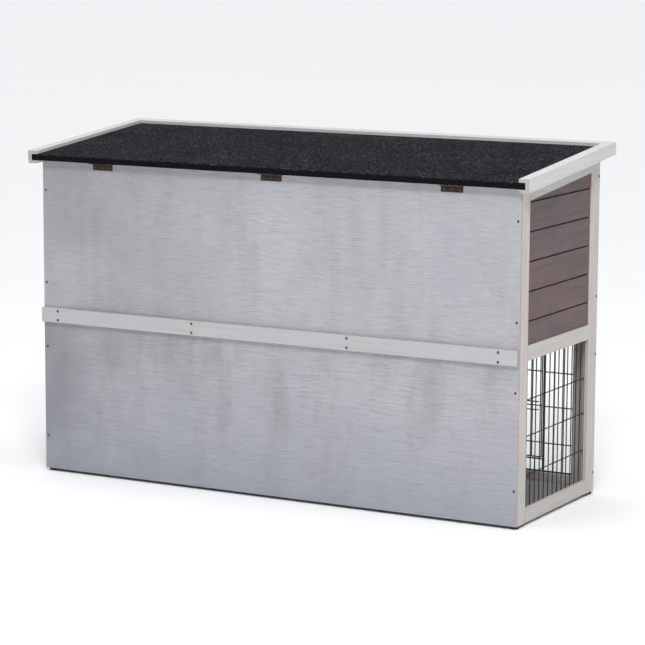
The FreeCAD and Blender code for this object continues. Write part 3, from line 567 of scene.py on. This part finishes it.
# ---------------------------------------------------------------- directions of the roof
ROOF_PITCH = math.radians(5.4)
ROOF_DOWN = Vector((0, -math.sin(ROOF_PITCH), -math.cos(ROOF_PITCH)))
ROOF_BACK = Vector((0, math.cos(ROOF_PITCH), -math.sin(ROOF_PITCH)))
ROOF_PIVOT = Vector(next(j for j in frame["record"]["behaviour"]["joints"]
                         if j["name"] == "roof_hinge")["pos_m"])


# ---------------------------------------------------------------- roofing felt
FELT_STEP = 0.005
FELT_NOSE = 0.006
NOSE_STEPS = 8
LIP_STEPS = 3
FELT_THICK = 0.0025
FELT_ROUGHNESS = 0.0005
FELT_ROUGH_SCALE = 110.0
LIP_REACH = 0.001
LIP_WAVE = 0.0018
LIP_WAVE_SCALE = 9.0
LIP_WAVE_SEED = 3.0


def felt_profile(front, rear, low, top):
    """Section of the sheet down the slope: outer face, rounded nose and lip, then inner face."""
    run = rear - FELT_NOSE - front
    count = round(run / FELT_STEP)
    outer = [(front + run * i / count, top) for i in range(count)]
    for i in range(NOSE_STEPS + 1):
        angle = math.pi / 2 * i / NOSE_STEPS
        outer.append((rear - FELT_NOSE + FELT_NOSE * math.sin(angle),
                      top - FELT_NOSE + FELT_NOSE * math.cos(angle)))
    drop = top - FELT_NOSE - low
    outer += [(rear, low + drop * (1 - i / LIP_STEPS)) for i in range(1, LIP_STEPS + 1)]
    inside = rear - FELT_THICK
    inner = [(inside, low), (inside, top - FELT_THICK), (front, top - FELT_THICK)]
    return outer, inner


def inward_ways(outer, inner):
    """Unit way into the sheet at each point of the section; none at its ends and inside."""
    ways = [(0.0, 0.0)] * (len(outer) + len(inner))
    for i in range(1, len(outer) - 1):
        run = Vector((outer[i + 1][0] - outer[i - 1][0], outer[i + 1][1] - outer[i - 1][1]))
        run.normalize()
        ways[i] = (run.y, -run.x)
    return ways


def felt_point(x, s, t, inward, low):
    """One point of the sheet, sunk by the grit's unevenness; the lower lip wanders a little."""
    depth = FELT_ROUGHNESS * (0.5 + 0.5 * space_noise.noise(Vector((x, s, t)) * FELT_ROUGH_SCALE))
    s += inward[0] * depth
    t += inward[1] * depth
    if t < low + LIP_REACH:
        wave = space_noise.noise(Vector((x * LIP_WAVE_SCALE, 0.0, LIP_WAVE_SEED)))
        t = low + LIP_WAVE * (0.5 + 0.5 * wave)
    return Vector((x, 0, 0)) + ROOF_BACK * s - ROOF_DOWN * t


def roof_felt_sheet():
    """Felt sheet in place of the plain one, with a soft nose and a slightly wavy lower lip."""
    source = [vertex.co for vertex in NODES["roof_felt"].data.vertices]
    down_slope = [point.dot(ROOF_BACK) for point in source]
    upward = [-point.dot(ROOF_DOWN) for point in source]
    left, right = min(point.x for point in source), max(point.x for point in source)
    low = min(upward)
    outer, inner = felt_profile(min(down_slope), max(down_slope), low, max(upward))
    profile = outer + inner
    inward = inward_ways(outer, inner)
    columns = round((right - left) / FELT_STEP)
    size = len(profile)
    vertices, faces = [], []
    for column in range(columns + 1):
        x = left + (right - left) * column / columns
        vertices += [felt_point(x, s, t, way, low) for (s, t), way in zip(profile, inward)]
    for column in range(columns):
        for i in range(size):
            a, b = column * size + i, column * size + (i + 1) % size
            faces.append((a, b, b + size, a + size))
    faces.append(tuple(reversed(range(size))))
    faces.append(tuple(columns * size + i for i in range(size)))
    sheet = mesh_object("roof_felt_sheet", vertices, faces, FELT)
    for face in sheet.data.polygons:
        face.use_smooth = face.index % size < len(outer) - 1 and len(face.vertices) == 4
    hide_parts("roof_felt")
    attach(sheet, "roof")


# ---------------------------------------------------------------- screws
SCREW_SHANK_REACH = 0.0025
CROSS_REACH = 0.0019
CROSS_HALF_WIDTH = 0.00036
CROSS_HALF_HEIGHT = 0.00006
CROSS_TURN = 0.7

LEAF_THICK = 0.0015
LEAF_STANDOFF = 0.0034
LEAF_SCREW_PLACES = (-0.021, 0.0, 0.021)
LEAF_SCREW_RADIUS = 0.0032
LEAF_HEAD_SUNK = 0.0004
LEAF_HEAD_HEIGHT = 0.0006
LEAF_CROSS_START = 0.4
LEAF_CROSS_TURN = 0.9
DOOR_SCREW_INSET = 0.0075
ROOF_SCREW_FROM_PIN = 0.0105

REAR_OF = 0.2
DOOR_SCREW_X = (0.65, 0.6585)
DOOR_MIDDLE_Z = 0.6635
DOOR_HINGE_FROM_MIDDLE = 0.07
UPPER_STOREY_Z = 0.5


def bronze_by_hinges():
    """Screws in the hinge leaves are bronze like the leaves."""
    screws = NODES["frame_screws"].data
    screws.materials.append(BRONZE_SCREW)
    hinge_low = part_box("roof_hinge_fixed_leaves")[0]
    for face in screws.polygons:
        at = face.center
        on_roof_hinge = at.y > REAR_OF and at.z > hinge_low.z
        beside_door = at.y < -REAR_OF and DOOR_SCREW_X[0] < abs(at.x) < DOOR_SCREW_X[1]
        at_hinge = at.z > UPPER_STOREY_Z and abs(at.z - DOOR_MIDDLE_Z) > DOOR_HINGE_FROM_MIDDLE
        if on_roof_hinge or (beside_door and at_hinge):
            face.material_index = 1


def add_cross(vertices, faces, center, u, v, w, turn):
    """Dark flat cross on a screw head, turned by an angle: painted shade standing in for a cross
    recess.
    """
    a = u * math.cos(turn) + v * math.sin(turn)
    b = v * math.cos(turn) - u * math.sin(turn)
    for arm, side in ((a, b), (b, a)):
        add_box(vertices, faces, center, arm * CROSS_REACH, side * CROSS_HALF_WIDTH,
                w * CROSS_HALF_HEIGHT)


def frame_screw_crosses():
    """A dark flat cross of painted shade, standing in for a cross recess, on the head of each screw
    of the frame.
    """
    vertices, faces = [], []
    for number, points in enumerate(islands(NODES["frame_screws"])):
        low, high = extent(points)
        size = high - low
        axis = max(range(3), key=lambda i: size[i])
        middle = (low + high) / 2
        others = [i for i in range(3) if i != axis]
        head = [p[axis] for p in points
                if max(abs(p[i] - middle[i]) for i in others) > SCREW_SHANK_REACH]
        sign = 1.0 if sum(head) / len(head) > middle[axis] else -1.0
        center = middle.copy()
        center[axis] = high[axis] if sign > 0 else low[axis]
        add_cross(vertices, faces, center, UNITS[others[0]], UNITS[others[1]],
                  UNITS[axis] * sign, CROSS_TURN * number)
    recess_shades = mesh_object("frame_screw_recess_shades", vertices, faces, RECESS_PAINTED_SHADE)
    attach(recess_shades, "frame")


def leaf_screws(node, body, out, long_axis, plate_face):
    """Three countersunk screw heads on each moving leaf, a hair proud of the plate."""
    heads, crosses = ([], []), ([], [])
    u = UNITS[long_axis]
    v = out.cross(u)
    for points in islands(NODES[node]):
        low, high = extent(points)
        plate = plate_face(low, high)
        middle = (low + high) / 2
        for number, step in enumerate(LEAF_SCREW_PLACES):
            center = plate + u * (step + middle[long_axis] - plate[long_axis])
            add_disc(*heads, center - out * LEAF_HEAD_SUNK, u * LEAF_SCREW_RADIUS,
                     v * LEAF_SCREW_RADIUS, out * LEAF_HEAD_HEIGHT)
            add_cross(*crosses, center + out * (LEAF_HEAD_HEIGHT - LEAF_HEAD_SUNK), u, v, out,
                      LEAF_CROSS_START + LEAF_CROSS_TURN * number)
    # The crosses are painted shade standing in for the screws' cross recesses.
    for ending, lists, material in (("_screws", heads, BRONZE_SCREW),
                                    ("_screw_recess_shades", crosses, RECESS_PAINTED_SHADE)):
        piece = mesh_object(node + ending, *lists, material)
        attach(piece, body)


def door_leaf(side):
    """Finder of a door leaf's screw line; side is 1 for the right door and -1 for the left."""
    def place(low, high):
        x = low.x + DOOR_SCREW_INSET if side > 0 else high.x - DOOR_SCREW_INSET
        return Vector((x, high.y - LEAF_THICK, (low.z + high.z) / 2))
    return place


def roof_leaf(low, high):
    """Middle of the screw line on the underside of a roof leaf."""
    center = (ROOF_PIVOT + ROOF_BACK * ROOF_SCREW_FROM_PIN
              - ROOF_DOWN * (LEAF_STANDOFF - LEAF_THICK))
    return Vector(((low.x + high.x) / 2, center.y, center.z))


bronze_by_hinges()
roof_felt_sheet()
frame_screw_crosses()
leaf_screws("door_hinge_leaves_right", "door_right", Vector((0, -1, 0)), Z, door_leaf(1))
leaf_screws("door_hinge_leaves_left", "door_left", Vector((0, -1, 0)), Z, door_leaf(-1))
leaf_screws("roof_hinge_moving_leaves", "roof", ROOF_DOWN, X, roof_leaf)


# ---------------------------------------------------------------- stage, light and camera
FLOOR_REACH = 150.0
FLOOR_SHADE = (0.95, 0.95, 0.95)
FLOOR_PALE = (0.965, 0.965, 0.965)

KEY_PLACE = (-2.3, 4.0, 4.4)
KEY_TARGET = (-0.2, 0.0, 0.4)
KEY_SIZE = 1.2
KEY_POWER = 145.0

SKY_TINT = (0.965, 0.98, 1.0, 1.0)
SKY_OVERHEAD = 2.2
SKY_REAR = 0.08
SKY_HORIZON = 0.75

CAMERA_PLACE = (-3.2757, 5.9248, 1.4985)
CAMERA_AZIMUTH = math.radians(208.797)
CAMERA_ELEVATION = math.radians(8.981)
CAMERA_ROLL = math.radians(0.2884)
CAMERA_LENS = 144.75


def floor():
    corners = [(-FLOOR_REACH, -FLOOR_REACH, 0), (FLOOR_REACH, -FLOOR_REACH, 0),
               (FLOOR_REACH, FLOOR_REACH, 0), (-FLOOR_REACH, FLOOR_REACH, 0)]
    material, tree, bsdf = new_material("pale_floor")
    cloud = noise(tree, object_coords(tree), 0.6, 2.0)
    tree.links.new(mix(tree, cloud, FLOOR_SHADE, FLOOR_PALE), bsdf.inputs["Base Color"])
    bsdf.inputs["Roughness"].default_value = 0.9
    obj = mesh_object("floor", corners, [(0, 1, 2, 3)], material)


def key_light():
    """Soft square lamp above the rear left of the hutch."""
    light = bpy.data.lights.new("key", "AREA")
    light.shape = "SQUARE"
    light.size = KEY_SIZE
    light.energy = KEY_POWER
    obj = bpy.data.objects.new("key", light)
    obj.location = KEY_PLACE
    way = Vector(KEY_TARGET) - Vector(KEY_PLACE)
    obj.rotation_euler = way.to_track_quat("-Z", "Y").to_euler()
    bpy.context.scene.collection.objects.link(obj)


def camera():
    """Long lens behind the hutch; azimuth 0 would look along +Y, and elevation looks down."""
    data = bpy.data.cameras.new("camera")
    data.sensor_width = 36.0
    data.lens = CAMERA_LENS
    data.clip_end = 100.0
    obj = bpy.data.objects.new("camera", data)
    level = Vector((math.cos(CAMERA_AZIMUTH), math.sin(CAMERA_AZIMUTH), 0.0))
    ahead = Vector((-level.y, level.x, 0.0))
    look = ahead * math.cos(CAMERA_ELEVATION) - UNITS[Z] * math.sin(CAMERA_ELEVATION)
    rise = level.cross(look)
    right = level * math.cos(CAMERA_ROLL) + rise * math.sin(CAMERA_ROLL)
    up = rise * math.cos(CAMERA_ROLL) - level * math.sin(CAMERA_ROLL)
    turn = Matrix((right, up, -look)).transposed().to_4x4()
    obj.matrix_world = Matrix.Translation(CAMERA_PLACE) @ turn
    bpy.context.scene.collection.objects.link(obj)
    bpy.context.scene.camera = obj


def studio_world():
    """Soft overhead sky over a pale band at the horizon, a little brighter behind the hutch."""
    world = bpy.data.worlds.new("studio")
    world.use_nodes = True
    tree = world.node_tree
    direction = add(tree, "ShaderNodeTexCoord").outputs["Generated"]
    height = math_node(tree, "MAXIMUM", component(tree, direction, Z), 0.0)
    overhead = math_node(tree, "MULTIPLY", math_node(tree, "POWER", height, 3.0), SKY_OVERHEAD)
    rearward = math_node(tree, "ADD", component(tree, direction, Y), 1.0)
    rear = math_node(tree, "MULTIPLY", rearward, SKY_REAR)
    horizon = remap(tree, height, 0.02, 0.22, SKY_HORIZON, 0.0)
    low = math_node(tree, "ADD", rear, horizon)
    sky = tree.nodes["Background"]
    sky.inputs["Color"].default_value = SKY_TINT
    tree.links.new(math_node(tree, "ADD", overhead, low), sky.inputs["Strength"])
    bpy.context.scene.world = world


bpy.context.scene.view_settings.view_transform = "Standard"
studio_world()
floor()
key_light()
camera()
